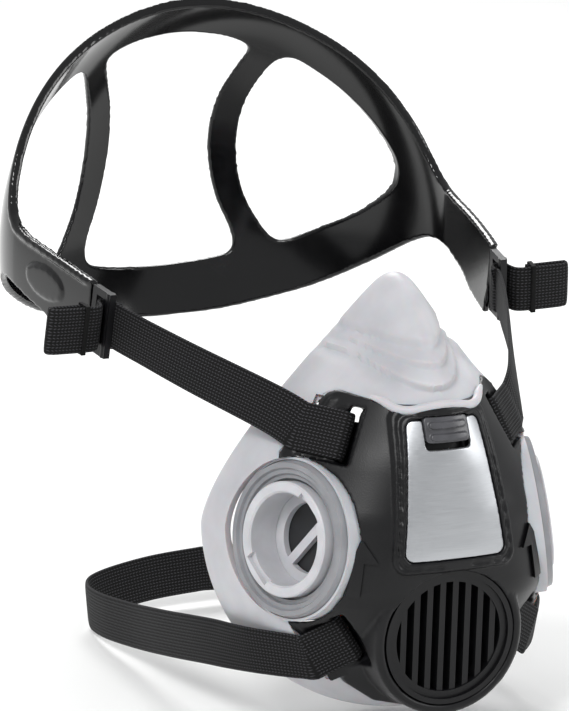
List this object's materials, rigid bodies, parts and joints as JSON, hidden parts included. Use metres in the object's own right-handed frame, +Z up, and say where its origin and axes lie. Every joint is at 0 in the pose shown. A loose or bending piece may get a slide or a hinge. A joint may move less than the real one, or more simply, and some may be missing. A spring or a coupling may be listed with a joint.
{
  "type": "half-mask respirator",
  "caption": "reusable elastomeric half-mask respirator with twin bayonet filter connectors, exhalation valve, moulded head cradle and elastic straps",
  "frame": {"origin": "centre of the face opening, inside the sealing rim", "axes": "+X to the wearer's left, +Y rearwards out of the mask to the wearer's head, +Z up"},
  "size_m": [0.1698, 0.2169, 0.1895],
  "materials": {
    "silicone": "pale translucent grey, satin",
    "black_plastic": "satin black moulding",
    "cradle_plastic": "glossy near-black moulding",
    "silver": "satin silver",
    "grey_plastic": "mid grey, satin",
    "light_plastic": "light grey, satin",
    "valve_rubber": "dark thin rubber",
    "elastic_webbing": "black ribbed elastic knit",
    "spring_steel": "plain wire"
  },
  "bodies": {
    "mask": {"facepiece": "silicone", "front_housing": "black_plastic", "cover_plate": "silver", "latch_spring": "spring_steel", "exhalation_grille": "black_plastic", "exhalation_valve_seat": "light_plastic", "connector_collar_left": "grey_plastic", "connector_collar_right": "grey_plastic", "bayonet_ring_left": "light_plastic", "bayonet_ring_right": "light_plastic", "inhalation_seat_left": "light_plastic", "inhalation_seat_right": "light_plastic", "sealing_washer_left": "valve_rubber", "sealing_washer_right": "valve_rubber", "retaining_ring_left": "grey_plastic", "retaining_ring_right": "grey_plastic", "neck_strap": "elastic_webbing", "upper_strap_left": "elastic_webbing", "upper_strap_right": "elastic_webbing", "connector_carrier_left": "grey_plastic", "connector_carrier_right": "grey_plastic", "exhalation_carrier": "grey_plastic"},
    "latch": {"latch_button": "grey_plastic"},
    "exhalation_valve": {"exhalation_valve_disc": "valve_rubber"},
    "inhalation_valve_left": {"inhalation_disc_left": "valve_rubber"},
    "inhalation_valve_right": {"inhalation_disc_right": "valve_rubber"},
    "harness": {"head_cradle": "cradle_plastic", "buckle_left": "black_plastic", "buckle_right": "black_plastic", "strap_hem_left": "elastic_webbing", "strap_hem_right": "elastic_webbing"}
  },
  "joints": [
    {"name": "latch_slide", "type": "slide", "parent": "mask", "child": "latch", "axis": [0, -0.31, -0.9507], "range_m": [0, 0.0018], "stiffness_N_per_m": 300},
    {"name": "exhalation_lift", "type": "slide", "parent": "mask", "child": "exhalation_valve", "axis": [0, -0.9976, -0.0698], "range_m": [0, 0.0016], "stiffness_N_per_m": 40},
    {"name": "inhalation_lift_left", "type": "slide", "parent": "mask", "child": "inhalation_valve_left", "axis": [-0.9305, 0.3387, -0.1392], "range_m": [0, 0.0015], "stiffness_N_per_m": 40},
    {"name": "inhalation_lift_right", "type": "slide", "parent": "mask", "child": "inhalation_valve_right", "axis": [0.9305, 0.3387, -0.1392], "range_m": [0, 0.0015], "stiffness_N_per_m": 40},
    {"name": "harness_stretch", "type": "slide", "parent": "mask", "child": "harness", "axis": [0, 0.9762, 0.2169], "range_m": [0, 0.025], "stiffness_N_per_m": 120, "deforming": ["upper_strap_left", "upper_strap_right"]}
  ]
}
